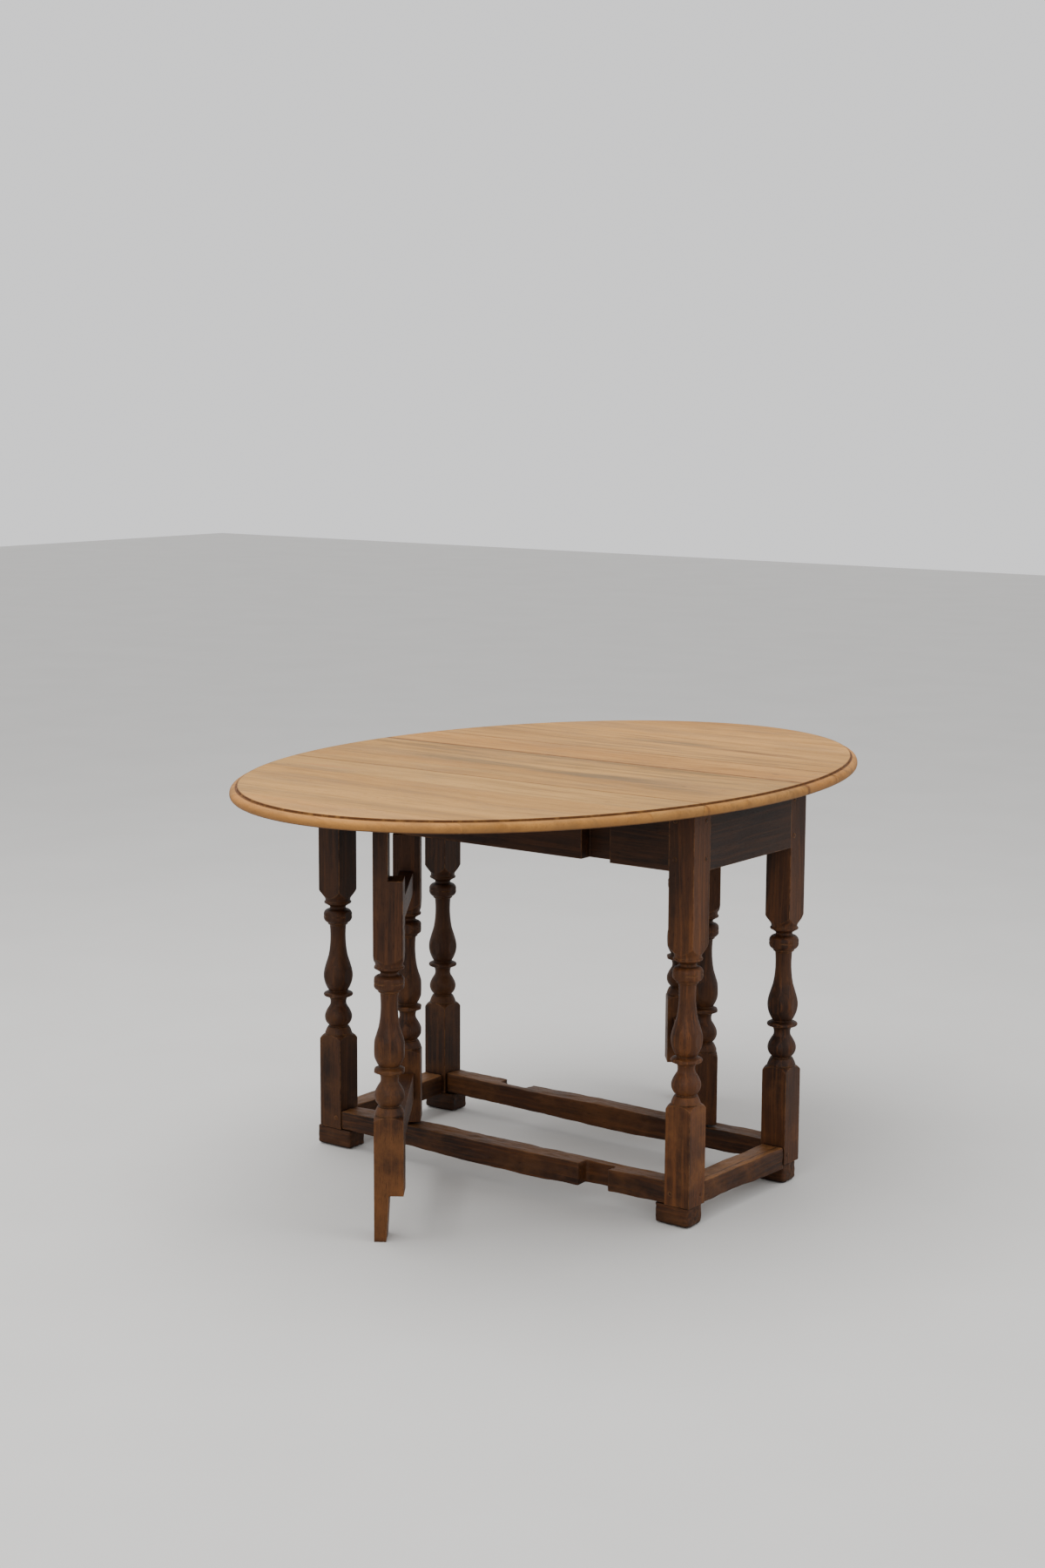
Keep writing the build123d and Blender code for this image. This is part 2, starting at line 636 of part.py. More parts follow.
for side, side_y in SIDES.items():
    cove = rule_section(
        side_y,
        side_y * LEAF_SEAMS[side][0],
        side_y * (RULE_JOINT_Y + RULE_FACE_GAP),
        RULE_RADIUS + RULE_CLEARANCE,
    )
    with BuildPart() as inner_board:
        add_oval_board(inner_board, cove)
        for x in HINGES.values():
            base = hinge_base(side_y, x)
            flap_y = (RULE_RADIUS, LEAF_FLAP)
            width = (-HALF_HINGE, HALF_HINGE)
            box_between(width, flap_y, (POCKET_FLOOR, FLAP_RANGE[1]), Mode.SUBTRACT, base)
            screws(base, LEAF_SCREW_Y, SCREW_FIT, Mode.SUBTRACT)
    save(inner_board, f"{side}_leaf_inner_board")

    outer_edges = (*LEAF_SEAMS[side][1:], TOP_HALF_Y + PAST_RIM)
    for board_name, inner, outer in zip(LEAF_BOARDS[side][1:], LEAF_SEAMS[side], outer_edges):
        with BuildPart() as leaf_board:
            add_oval_board(leaf_board, plain_section(side_y, inner, outer))
        save(leaf_board, f"{side}_leaf_{board_name}_board")

# ------------------------------------------------------------- leaf hinges

for side, side_y in SIDES.items():
    for place, x in HINGES.items():
        base = hinge_base(side_y, x)
        width = (-HALF_HINGE, HALF_HINGE)
        with BuildPart() as fixed_flap:
            box_between(width, (-FIXED_FLAP, -KNUCKLE_RADIUS - FLAP_PLAY), FLAP_RANGE, base=base)
            for knuckle in OUTER_KNUCKLES:
                box_between(knuckle, (-KNUCKLE_RADIUS - FLAP_PLAY, 0), FLAP_RANGE, base=base)
                barrel(base, knuckle, KNUCKLE_RADIUS)
            barrel(base, width, PIN_RADIUS, Mode.SUBTRACT)
            screws(base, FIXED_SCREW_Y, SCREW_FIT, Mode.SUBTRACT)
        save(fixed_flap, f"{side}_{place}_fixed_flap")

        with BuildPart() as leaf_flap:
            middle = (-HALF_MIDDLE, HALF_MIDDLE)
            box_between(width, (KNUCKLE_RADIUS + FLAP_PLAY, LEAF_FLAP), FLAP_RANGE, base=base)
            box_between(middle, (0, KNUCKLE_RADIUS + FLAP_PLAY), FLAP_RANGE, base=base)
            barrel(base, middle, KNUCKLE_RADIUS)
            barrel(base, width, PIN_RADIUS + PIN_CLEARANCE, Mode.SUBTRACT)
            screws(base, LEAF_SCREW_Y, SCREW_FIT, Mode.SUBTRACT)
        save(leaf_flap, f"{side}_{place}_leaf_flap")

    with BuildPart() as hinge_pins:
        for x in HINGES.values():
            barrel(hinge_base(side_y, x), (-HALF_HINGE, HALF_HINGE), PIN_RADIUS)
    save(hinge_pins, f"{side}_hinge_pins")

    with BuildPart() as fixed_screws:
        for x in HINGES.values():
            screws(hinge_base(side_y, x), FIXED_SCREW_Y)
    save(fixed_screws, f"{side}_fixed_flap_screws")

    with BuildPart() as leaf_screws:
        for x in HINGES.values():
            screws(hinge_base(side_y, x), LEAF_SCREW_Y)
    save(leaf_screws, f"{side}_leaf_flap_screws")
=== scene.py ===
import json
from math import cos, radians, sin

import bpy
import numpy as np
from mathutils import Matrix, Vector, noise


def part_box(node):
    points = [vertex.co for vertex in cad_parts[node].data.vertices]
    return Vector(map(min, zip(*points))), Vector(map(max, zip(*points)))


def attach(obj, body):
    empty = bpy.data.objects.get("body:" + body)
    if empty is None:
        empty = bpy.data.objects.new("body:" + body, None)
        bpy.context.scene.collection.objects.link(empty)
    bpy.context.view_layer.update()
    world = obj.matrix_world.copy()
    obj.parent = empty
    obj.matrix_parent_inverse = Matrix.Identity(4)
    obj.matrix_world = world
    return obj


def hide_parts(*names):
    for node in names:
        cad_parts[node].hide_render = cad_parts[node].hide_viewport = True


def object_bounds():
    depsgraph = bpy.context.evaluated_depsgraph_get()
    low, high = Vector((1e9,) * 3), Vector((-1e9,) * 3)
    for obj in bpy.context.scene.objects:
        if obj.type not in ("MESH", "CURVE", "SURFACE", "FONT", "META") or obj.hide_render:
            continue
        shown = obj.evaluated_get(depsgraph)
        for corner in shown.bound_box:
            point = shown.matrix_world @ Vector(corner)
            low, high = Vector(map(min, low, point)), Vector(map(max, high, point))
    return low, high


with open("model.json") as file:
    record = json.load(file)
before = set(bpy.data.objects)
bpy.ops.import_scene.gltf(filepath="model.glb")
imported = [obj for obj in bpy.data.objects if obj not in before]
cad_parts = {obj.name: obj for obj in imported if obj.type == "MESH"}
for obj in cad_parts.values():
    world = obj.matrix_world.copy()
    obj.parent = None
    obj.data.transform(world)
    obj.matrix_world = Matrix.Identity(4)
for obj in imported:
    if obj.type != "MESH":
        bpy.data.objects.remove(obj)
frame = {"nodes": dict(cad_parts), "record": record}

CAD_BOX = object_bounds()
LOW, HIGH = CAD_BOX
NODES = frame["nodes"]
MIDDLE = Vector(((LOW.x + HIGH.x) / 2, (LOW.y + HIGH.y) / 2, LOW.z))
TABLE_TOP = HIGH.z

# heights at which a change of colour starts and is complete
UNDERSIDE_SHADE_FADE = (TABLE_TOP - 0.017, TABLE_TOP - 0.0185)
RIM_SHADE_FADE = (TABLE_TOP - 0.006, TABLE_TOP - 0.016)
KICK_FADE = (0.42, 0.16)
LEG_TIP_FADE = (0.135, 0.055)
UNDER_TOP_SHADE_FADE = (0.50, 0.66)

# rounding of the arrises, how far the normal turns there, and how far the painted shade reaches out
# of a corner
TOP_ARRIS = 0.0015
BASE_ARRIS = 0.003
METAL_ARRIS = 0.0004
ARRIS_TURN = (0.01, 0.16)
CREVICE_SHADE_REACH = 0.012

# gloss of the two finishes
TOP_SPECULAR = 0.12
BASE_SPECULAR = 0.17

# distances out of the top's flat field, as shares of its half width, at which each change starts
# and is complete
RIM_START = (0.000, 0.004)
QUIRK_START = (-0.0045, -0.0010)
QUIRK_END = (0.0040, 0.0075)

# how far single marks and the shake wander, how the shake fades, and what counts as facing up
MARK_WANDER = 0.03
SHAKE_WANDER = 0.006
SHAKE_FADE = (0.0016, 0.0004)
FACING_UP = (0.55, 0.9)

# ------------------------------------------------------------------ node graphs


class Graph:
    """A material's node tree, with one short call for each kind of node."""

    def __init__(self, name):
        self.material = bpy.data.materials.new(name)
        self.material.use_nodes = True
        self.nodes = self.material.node_tree.nodes
        self.links = self.material.node_tree.links
        self.nodes.clear()
        self.out = self.nodes.new("ShaderNodeOutputMaterial")
        self.shader = self.nodes.new("ShaderNodeBsdfPrincipled")
        self.links.new(self.shader.outputs[0], self.out.inputs[0])

    def put(self, socket, value):
        if isinstance(value, bpy.types.NodeSocket):
            self.links.new(value, socket)
        elif isinstance(value, (tuple, list)) and len(value) == 3 and socket.type == "RGBA":
            socket.default_value = (*value, 1.0)
        else:
            socket.default_value = value

    def node(self, kind, output=0, settings=(), **inputs):
        made = self.nodes.new(kind)
        for key, value in dict(settings).items():
            setattr(made, key, value)
        for key, value in inputs.items():
            self.put(made.inputs[key.replace("_", " ")], value)
        return made.outputs[output]

    def math(self, operation, a, b=0.0, clamp=False):
        made = self.nodes.new("ShaderNodeMath")
        made.operation = operation
        made.use_clamp = clamp
        self.put(made.inputs[0], a)
        self.put(made.inputs[1], b)
        return made.outputs[0]

    def vector(self, operation, a, b=(0.0, 0.0, 0.0), output=0):
        made = self.nodes.new("ShaderNodeVectorMath")
        made.operation = operation
        self.put(made.inputs[0], a)
        self.put(made.inputs[1], b)
        return made.outputs[output]

    def noise(self, at, scale=1.0, detail=3.0, rough=0.5, distortion=0.0):
        return self.node(
            "ShaderNodeTexNoise",
            Vector=at,
            Scale=scale,
            Detail=detail,
            Roughness=rough,
            Distortion=distortion,
        )

    def grain(self, at, along, across, detail, rough, distortion=0.0):
        """Noise drawn out along the grain, with its scales along and across it."""
        stretched = self.vector("MULTIPLY", at, (along, across, across))
        return self.noise(stretched, 1.0, detail, rough, distortion)

    def sway(self, at, along, across, reach):
        """The same place, moved a little across the grain so that the figure wanders."""
        drift = self.math("SUBTRACT", self.grain(at, along, across, 2.0, 0.5), 0.5)
        lift = self.math("MULTIPLY", drift, reach)
        return self.vector("ADD", at, self.node("ShaderNodeCombineXYZ", X=0.0, Y=lift, Z=lift))

    def ramp(self, value, low, high, to_low=0.0, to_high=1.0):
        made = self.nodes.new("ShaderNodeMapRange")
        made.interpolation_type = "SMOOTHSTEP"
        for i, v in enumerate((value, low, high, to_low, to_high)):
            self.put(made.inputs[i], v)
        return made.outputs[0]

    def mix(self, amount, a, b, blend="MIX"):
        made = self.nodes.new("ShaderNodeMix")
        made.data_type = "RGBA"
        made.blend_type = blend
        self.put(made.inputs[0], amount)
        self.put(made.inputs[6], a)
        self.put(made.inputs[7], b)
        return made.outputs[2]

    def cover(self, colour, mask, strength, tint):
        """The colour under a tint that lies where the mask is 1."""
        return self.mix(self.math("MULTIPLY", mask, strength), colour, tint)

    def axis(self, vector, index):
        """One coordinate of a vector."""
        return self.node("ShaderNodeSeparateXYZ", output=index, Vector=vector)

    def bump(self, strength, distance, height, normal):
        """The normal of a surface that is raised by the height times the distance."""
        return self.node(
            "ShaderNodeBump", Strength=strength, Distance=distance, Height=height, Normal=normal
        )

    def surface(self, colour, rough, normal, specular):
        """Connects the finished colour, roughness and normal to the shader."""
        self.put(self.shader.inputs["Base Color"], colour)
        self.put(self.shader.inputs["Roughness"], rough)
        self.put(self.shader.inputs["Normal"], normal)
        self.shader.inputs["Specular IOR Level"].default_value = specular
        return self.material

    def add(self, *values):
        total = values[0]
        for value in values[1:]:
            total = self.math("ADD", total, value)
        return total


def grain_space(graph, turn, offset):
    """The place on the object, and that place in a log whose grain runs along the first axis."""
    place = graph.node("ShaderNodeTexCoord", output=3)
    mapping = graph.nodes.new("ShaderNodeMapping")
    mapping.vector_type = "POINT"
    mapping.inputs["Rotation"].default_value = turn
    graph.links.new(place, mapping.inputs["Vector"])
    along = graph.vector("ADD", mapping.outputs[0], offset)
    return place, along


def edge_mask(graph, radius):
    """1 on an outside arris and 0 on flats, from the bevelled normal."""
    round_normal = graph.node("ShaderNodeBevel", settings={"samples": 6}, Radius=radius)
    flat_normal = graph.node("ShaderNodeNewGeometry", output=1)
    dot = graph.vector("DOT_PRODUCT", round_normal, flat_normal, output=1)
    return round_normal, graph.ramp(graph.math("SUBTRACT", 1.0, dot), *ARRIS_TURN)


ALONG_X = (0.0, 0.0, 0.0)
ALONG_Y = (0.0, 0.0, radians(90))
ALONG_Z = (0.0, radians(90), 0.0)


def shade(colour, factor):
    """A colour made darker or lighter by a factor."""
    return tuple(factor * c for c in colour)


def stripped_oak(name, offset, pale, warm, grey, streaks, marks):
    """The top: old oak stripped of its finish, pale and matt, with grey-brown streaks."""
    g = Graph(name)
    place, along = grain_space(g, ALONG_X, offset)
    flow = g.sway(along, 1.6, 5.0, 0.10)
    broad = g.grain(flow, 0.9, 9.0, 4.0, 0.55)
    bands = g.grain(flow, 1.8, 55.0, 4.0, 0.6, 0.4)
    fibres = g.grain(flow, 7.0, 420.0, 5.0, 0.7)
    pore = g.ramp(g.grain(flow, 38.0, 900.0, 2.0, 0.5), 0.60, 0.72)
    patch = g.grain(along, 4.0, 9.0, 4.0, 0.6)
    smear = g.grain(flow, 2.6, 30.0, 5.0, 0.65, 0.3)
    cloud = g.grain(along, 3.2, 8.0, 5.0, 0.68)
    fleck = g.grain(along, 14.0, 60.0, 3.0, 0.6)
    streak = g.grain(flow, 1.1, 26.0, 5.0, 0.62, 0.8)

    colour = g.mix(g.ramp(broad, 0.34, 0.68), pale, warm)
    colour = g.cover(colour, g.ramp(bands, 0.42, 0.72), 0.55, shade(warm, 0.62))
    colour = g.cover(colour, g.ramp(fibres, 0.46, 0.70), 0.34, shade(warm, 0.55))
    colour = g.cover(colour, g.ramp(patch, 0.50, 0.74), 0.35, shade(pale, 1.18))
    colour = g.cover(colour, g.ramp(smear, 0.50, 0.70), 0.40, shade(warm, 0.60))
    colour = g.cover(colour, g.ramp(fleck, 0.58, 0.76), 0.35, grey)
    colour = g.cover(colour, g.ramp(cloud, 0.47, 0.66), 0.38, GREY_STAIN)
    zone = g.ramp(streak, 0.58 - 0.12 * streaks, 0.74 - 0.10 * streaks)
    colour = g.cover(colour, zone, 0.35 + 0.4 * streaks, grey)
    colour = g.cover(colour, pore, 0.42, shade(warm, 0.34))

    # the rim moulding is warmer, and painted shade darkens it; the quirk inside it is painted
    # darker
    flat = g.vector("MULTIPLY", place, (1 / FIELD_X, 1 / FIELD_Y, 0.0))
    reach = g.math("SUBTRACT", g.vector("LENGTH", flat, output=1), 1.0)
    rim = g.ramp(reach, *RIM_START)
    # warmer tint of the moulding, together with painted shade that darkens it
    colour = g.mix(g.math("MULTIPLY", rim, 0.80), colour, RIM_WARMTH_AND_SHADE, "MULTIPLY")
    blotch = g.noise(place, 60.0, 3.0, 0.6)
    inside = g.ramp(reach, *QUIRK_START)
    outside = g.ramp(reach, *QUIRK_END, 1.0, 0.0)
    thickness = g.ramp(blotch, 0.25, 0.55, 0.55, 0.97)
    # a darker band is painted along the quirk, blotchy in strength
    colour = g.cover(colour, g.math("MULTIPLY", inside, outside), thickness, QUIRK_DARK)

    # dirt beside the open glue line and the two rule joints
    place_x = g.axis(place, 0)
    place_y = g.axis(place, 1)
    for y, width, amount in JOINT_DIRT:
        near = g.math("ABSOLUTE", g.math("SUBTRACT", place_y, y))
        thickness = g.ramp(blotch, 0.2, 0.6, 0.5 * amount, amount)
        colour = g.cover(colour, g.ramp(near, width, 0.35 * width), thickness, JOINT_BROWN)

    # single streaks and knots, broken up by the grain
    wavy = g.math("SUBTRACT", g.noise(place, 7.0, 3.0, 0.6), 0.5)
    wavy = g.math("MULTIPLY", wavy, MARK_WANDER)
    broken = g.ramp(bands, 0.35, 0.60, 0.25, 1.0)
    for x, y, half_length, half_width, tint, amount in marks:
        u = g.math("MULTIPLY", g.math("SUBTRACT", place_x, x), 1 / half_length)
        across = g.math("SUBTRACT", g.math("ADD", place_y, wavy), y)
        v = g.math("MULTIPLY", across, 1 / half_width)
        far = g.math("SQRT", g.math("ADD", g.math("MULTIPLY", u, u), g.math("MULTIPLY", v, v)))
        colour = g.cover(colour, g.ramp(far, 1.0, 0.3), g.math("MULTIPLY", broken, amount), tint)

    round_normal, edge = edge_mask(g, TOP_ARRIS)
    colour = g.cover(colour, edge, 0.25, shade(pale, 1.2))
    height_z = g.axis(place, 2)
    lower_rim = g.math("MULTIPLY", g.ramp(height_z, *RIM_SHADE_FADE), rim)
    colour = g.cover(colour, lower_rim, 0.55, RIM_SHADE)
    # painted shade on the underside of the top and along the lowest edge of the rim
    colour = g.cover(colour, g.ramp(height_z, *UNDERSIDE_SHADE_FADE), 0.72, UNDERSIDE_SHADE)

    rough = g.add(0.56, g.math("MULTIPLY", fibres, 0.18), g.math("MULTIPLY", pore, 0.12))
    height = g.add(
        g.math("MULTIPLY", fibres, 0.35),
        g.math("MULTIPLY", pore, -0.5),
        g.math("MULTIPLY", bands, 0.3),
        g.math("MULTIPLY", patch, 0.5),
    )
    bump = g.bump(0.32, 0.0006, height, round_normal)
    return g.surface(colour, rough, bump, TOP_SPECULAR)


def stained_oak(name, turn, offset, wear=0.5, glow=0.0, tread=0.0, shake=None, tone=1.0):
    """The base: dark stained oak, waxed, and rubbed to a warmer brown by hands and feet, with
    painted shade under the top and in its crevices.
    """
    g = Graph(name)
    place, along = grain_space(g, turn, offset)
    flow = g.sway(along, 2.5, 9.0, 0.03)
    broad = g.grain(flow, 3.0, 22.0, 4.0, 0.6)
    bands = g.grain(flow, 3.5, 150.0, 4.0, 0.6, 0.5)
    fibres = g.grain(flow, 16.0, 700.0, 5.0, 0.7)
    pore = g.ramp(g.grain(flow, 60.0, 1200.0, 2.0, 0.5), 0.58, 0.70)
    rubbed = g.noise(place, 11.0, 5.0, 0.65)
    scuffs = g.noise(place, 48.0, 4.0, 0.7)

    height_z = g.axis(place, 2)
    low = g.ramp(height_z, *KICK_FADE)
    colour = g.mix(g.ramp(broad, 0.35, 0.66), STAIN_DARK, STAIN_MID)
    colour = g.cover(colour, g.ramp(bands, 0.44, 0.68), 0.6, STAIN_WARM)
    colour = g.cover(colour, g.ramp(fibres, 0.48, 0.70), 0.35, STAIN_DARK)
    handled = g.add(0.18, g.math("MULTIPLY", low, 0.42))
    base_wear = g.math("MULTIPLY", g.ramp(rubbed, 0.40, 0.70), handled)
    colour = g.mix(g.math("MULTIPLY", base_wear, 2 * wear, True), colour, WORN)
    if glow:
        colour = g.cover(colour, g.ramp(height_z, *LEG_TIP_FADE), glow, WORN_ORANGE)
    if tread:
        facing = g.node("ShaderNodeNewGeometry", output=1)
        upward = g.ramp(g.axis(facing, 2), *FACING_UP)
        colour = g.cover(colour, upward, g.ramp(rubbed, 0.25, 0.6, 0.35 * tread, tread), TREAD)
        if shake:
            wander = g.math("MULTIPLY", g.math("SUBTRACT", rubbed, 0.5), SHAKE_WANDER)
            off_line = g.math("SUBTRACT", g.math("ADD", g.axis(place, 0), wander), shake)
            crack = g.ramp(g.math("ABSOLUTE", off_line), *SHAKE_FADE)
            colour = g.cover(colour, upward, crack, PORE_CRACK_AND_SHADE_DARK)
    # painted shade: the base grows darker towards the underside of the top, where less light
    # reaches
    colour = g.cover(colour, g.ramp(height_z, *UNDER_TOP_SHADE_FADE), 0.45, UNDER_TOP_SHADE)
    if tone != 1.0:
        colour = g.mix(1.0, colour, (tone, tone, tone), "MULTIPLY")

    round_normal, edge = edge_mask(g, BASE_ARRIS)
    edge_wear = g.math("MULTIPLY", edge, g.ramp(scuffs, 0.36, 0.62))
    colour = g.cover(colour, edge_wear, 0.35 + 0.5 * wear, WORN_EDGE)
    colour = g.cover(colour, pore, 0.5, PORE_CRACK_AND_SHADE_DARK)
    # painted shade: corners found by the occlusion are darkened towards the dark of the pores
    crevice_shade = g.node(
        "ShaderNodeAmbientOcclusion", output=1, settings={"samples": 6}, Distance=CREVICE_SHADE_REACH
    )
    colour = g.mix(g.ramp(crevice_shade, 0.35, 0.80, 0.8, 0.0), colour, PORE_CRACK_AND_SHADE_DARK)

    rough = g.add(0.43, g.math("MULTIPLY", rubbed, 0.22), g.math("MULTIPLY", pore, 0.2))
    height = g.add(
        g.math("MULTIPLY", fibres, 0.3),
        g.math("MULTIPLY", pore, -0.5),
        g.math("MULTIPLY", scuffs, 0.8),
        g.math("MULTIPLY", bands, 0.3),
    )
    bump = g.bump(0.4, 0.0008, height, round_normal)
    return g.surface(colour, rough, bump, BASE_SPECULAR)


def metal(name, colour, rust, roughness):
    """Old iron or steel, spotted with rust."""
    g = Graph(name)
    place = g.node("ShaderNodeTexCoord", output=3)
    spots = g.noise(place, 220.0, 5.0, 0.65)
    grain = g.noise(place, 1400.0, 3.0, 0.6)
    amount = g.ramp(spots, 0.42, 0.66)
    round_normal, edge = edge_mask(g, METAL_ARRIS)
    skin = g.mix(amount, colour, rust)
    skin = g.cover(skin, edge, 0.5, shade(colour, 2.2))
    bump = g.bump(0.35, 0.0002, g.add(spots, grain), round_normal)
    g.put(g.shader.inputs["Base Color"], skin)
    g.put(g.shader.inputs["Metallic"], g.ramp(amount, 0.0, 1.0, 0.9, 0.15))
    g.put(g.shader.inputs["Roughness"], g.add(roughness, g.math("MULTIPLY", amount, 0.35)))
    g.put(g.shader.inputs["Normal"], bump)
    return g.material


# -------------------------------------------------------------------- finishes

MOULDING = 0.0125
FIELD_X = (HIGH.x - LOW.x) / 2 - MOULDING
FIELD_Y = (HIGH.y - LOW.y) / 2 - MOULDING
GLUE_LINE_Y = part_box("far_centre_board")[0].y
JOINT_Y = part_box("far_leaf_inner_board")[0].y
JOINT_DIRT = ((GLUE_LINE_Y, 0.0075, 0.92), (JOINT_Y, 0.0040, 0.50), (-JOINT_Y, 0.0040, 0.60))
JOINT_BROWN = (0.120, 0.046, 0.015)
GREY_STAIN = (0.215, 0.132, 0.062)
RIM_WARMTH_AND_SHADE = (0.88, 0.74, 0.62)
RIM_SHADE = (0.150, 0.078, 0.032)
QUIRK_DARK = (0.085, 0.031, 0.010)
UNDERSIDE_SHADE = (0.085, 0.038, 0.016)
STAIN_DARK = (0.011, 0.0038, 0.0014)
STAIN_MID = (0.036, 0.0120, 0.0036)
STAIN_WARM = (0.075, 0.0250, 0.0065)
WORN = (0.100, 0.0380, 0.0105)
WORN_ORANGE = (0.150, 0.0560, 0.0150)
WORN_EDGE = (0.250, 0.1100, 0.0360)
TREAD = (0.215, 0.0960, 0.0330)
UNDER_TOP_SHADE = (0.010, 0.0040, 0.0020)
PORE_CRACK_AND_SHADE_DARK = (0.007, 0.0030, 0.0016)

TOP_BOARDS = {
    "near_centre_board": {
        "offset": (0.0, 0.0, 0.0),
        "pale": (0.404, 0.218, 0.062),
        "warm": (0.297, 0.144, 0.036),
        "grey": (0.133, 0.081, 0.032),
        "streaks": 0.8,
    },
    "far_centre_board": {
        "offset": (3.1, 1.7, 0.4),
        "pale": (0.439, 0.220, 0.059),
        "warm": (0.331, 0.151, 0.035),
        "grey": (0.189, 0.099, 0.036),
        "streaks": 0.3,
    },
    "near_leaf_inner_board": {
        "offset": (7.3, 2.9, 1.4),
        "pale": (0.404, 0.223, 0.065),
        "warm": (0.305, 0.153, 0.040),
        "grey": (0.189, 0.113, 0.043),
        "streaks": 0.3,
    },
    "near_leaf_middle_board": {
        "offset": (11.2, 4.1, 2.2),
        "pale": (0.421, 0.225, 0.063),
        "warm": (0.327, 0.160, 0.040),
        "grey": (0.198, 0.113, 0.043),
        "streaks": 0.4,
    },
    "near_leaf_outer_board": {
        "offset": (15.9, 5.3, 3.6),
        "pale": (0.473, 0.244, 0.065),
        "warm": (0.396, 0.186, 0.045),
        "grey": (0.241, 0.126, 0.043),
        "streaks": 0.2,
    },
    "far_leaf_inner_board": {
        "offset": (19.4, 6.7, 4.2),
        "pale": (0.430, 0.223, 0.063),
        "warm": (0.323, 0.153, 0.037),
        "grey": (0.155, 0.091, 0.036),
        "streaks": 0.6,
    },
    "far_leaf_outer_board": {
        "offset": (23.6, 8.1, 5.8),
        "pale": (0.464, 0.237, 0.065),
        "warm": (0.361, 0.170, 0.040),
        "grey": (0.181, 0.102, 0.039),
        "streaks": 0.5,
    },
}

GREY_BAND = (0.135, 0.088, 0.044)
DARK_BAND = (0.150, 0.072, 0.026)
KNOT = (0.080, 0.042, 0.020)
RED_STREAK = (0.330, 0.120, 0.030)
# marks on the boards, in metres from the middle of the top:
# middle x and y, half length along the grain, half width across it, colour and strength
TOP_MARKS = {
    "near_centre_board": (
        (-0.28, 0.020, 0.130, 0.016, GREY_BAND, 0.55),
        (-0.11, -0.060, 0.190, 0.022, GREY_BAND, 0.75),
        (0.16, -0.075, 0.230, 0.026, GREY_BAND, 0.85),
        (0.31, -0.105, 0.100, 0.012, GREY_BAND, 0.55),
        (0.315, -0.080, 0.007, 0.0045, KNOT, 1.0),
        (-0.20, -0.125, 0.150, 0.014, RED_STREAK, 0.35),
    ),
    "near_leaf_inner_board": (
        (0.305, -0.285, 0.010, 0.0060, KNOT, 0.9),
        (0.20, -0.245, 0.120, 0.010, DARK_BAND, 0.50),
        (-0.30, -0.270, 0.100, 0.012, RED_STREAK, 0.60),
        (-0.10, -0.230, 0.100, 0.010, GREY_BAND, 0.40),
    ),
    "far_centre_board": ((0.365, 0.132, 0.011, 0.0070, KNOT, 0.6),),
    "far_leaf_inner_board": (
        (0.02, 0.345, 0.160, 0.026, GREY_BAND, 0.75),
        (0.22, 0.330, 0.170, 0.016, DARK_BAND, 0.70),
        (-0.09, 0.385, 0.090, 0.008, DARK_BAND, 0.75),
        (0.37, 0.310, 0.090, 0.009, GREY_BAND, 0.60),
    ),
}


def paint(node, material):
    """Puts one material in every slot of a CAD node or piece."""
    slots = node.data.materials
    if not slots:
        slots.append(material)
    for i in range(len(slots)):
        slots[i] = material


for board, tints in TOP_BOARDS.items():
    finish = stripped_oak(board + "_oak", marks=TOP_MARKS.get(board, ()), **tints)
    paint(NODES[board], finish)

GATE_RAIL_TURN = {}
for side in ("near", "far"):
    pivot_low, pivot_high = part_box(f"{side}_pivot_post")
    leg_low, leg_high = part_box(f"{side}_gate_leg")
    run = (leg_low + leg_high) / 2 - (pivot_low + pivot_high) / 2
    GATE_RAIL_TURN[side] = (0.0, 0.0, -Vector((run.x, run.y)).angle_signed(Vector((1.0, 0.0))))


def timber_turn(node):
    """Which way the grain of a base timber runs."""
    if "gate" in node and "rail" in node:
        return GATE_RAIL_TURN[node.split("_")[0]]
    if "end_apron" in node or "end_stretcher" in node:
        return ALONG_Y
    if "apron" in node or "stretcher" in node or "foot" in node or "glue" in node:
        return ALONG_X
    return ALONG_Z


def timber_wear(node):
    """How far a base timber is rubbed back."""
    if "end_stretcher" in node:
        return 0.75
    if "stretcher" in node or "foot" in node:
        return 0.38
    if "gate_leg" in node:
        return 0.7
    return 0.5


# how light each timber is, where it differs from the usual
USUAL_TONE = 1.1
TIMBER_TONE = {
    "near_right_leg": 1.75,
    "near_right_foot": 1.15,
    "far_right_leg": 1.30,
    "near_left_leg": 0.85,
    "near_left_foot": 0.90,
    "far_left_leg": 0.80,
    "far_left_foot": 0.85,
    "near_gate_leg": 1.10,
    "right_end_apron": 0.80,
    "left_end_stretcher": 0.70,
}
HIGH_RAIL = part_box("right_end_stretcher")[1].x
SHAKE_INSET = 0.0125
GATE_LEG_GLOW = 0.4
END_TREAD = 0.8
LONG_TREAD = 0.4
BODIES = frame["record"]["behaviour"]["bodies"]
BODY_OF = {node: body for body, members in BODIES.items() for node in members}


def timber_tread(node):
    """How far the upper face of a stretcher is scuffed by feet."""
    if "end_stretcher" in node:
        return END_TREAD
    if "stretcher" in node:
        return LONG_TREAD
    return 0.0


def hermite(stops, t):
    """Smooth value at t, from 0 to 1, between evenly spaced stops."""
    t = np.clip(t, 0.0, 1.0) * (len(stops) - 1)
    i = np.minimum(t.astype(int), len(stops) - 2)
    f = t - i
    f = f * f * (3 - 2 * f)
    stops = np.array(stops)
    return stops[i] * (1 - f) + stops[i + 1] * f


# size of the remesh, and how many dents there are to a metre and how deep each kind bites
VOXEL = 0.0022
SMOOTH_PASSES = 4
DENTS_ACROSS = 34.0
DENTS_ALONG = 9.0
FINE_DENTS = 4.3
FINE_SHIFT = 7.1
EVEN_WEAR = 0.55
BROAD_WEAR = 0.8
FINE_WEAR = 0.45
LEVEL = (0.0, 0.0)


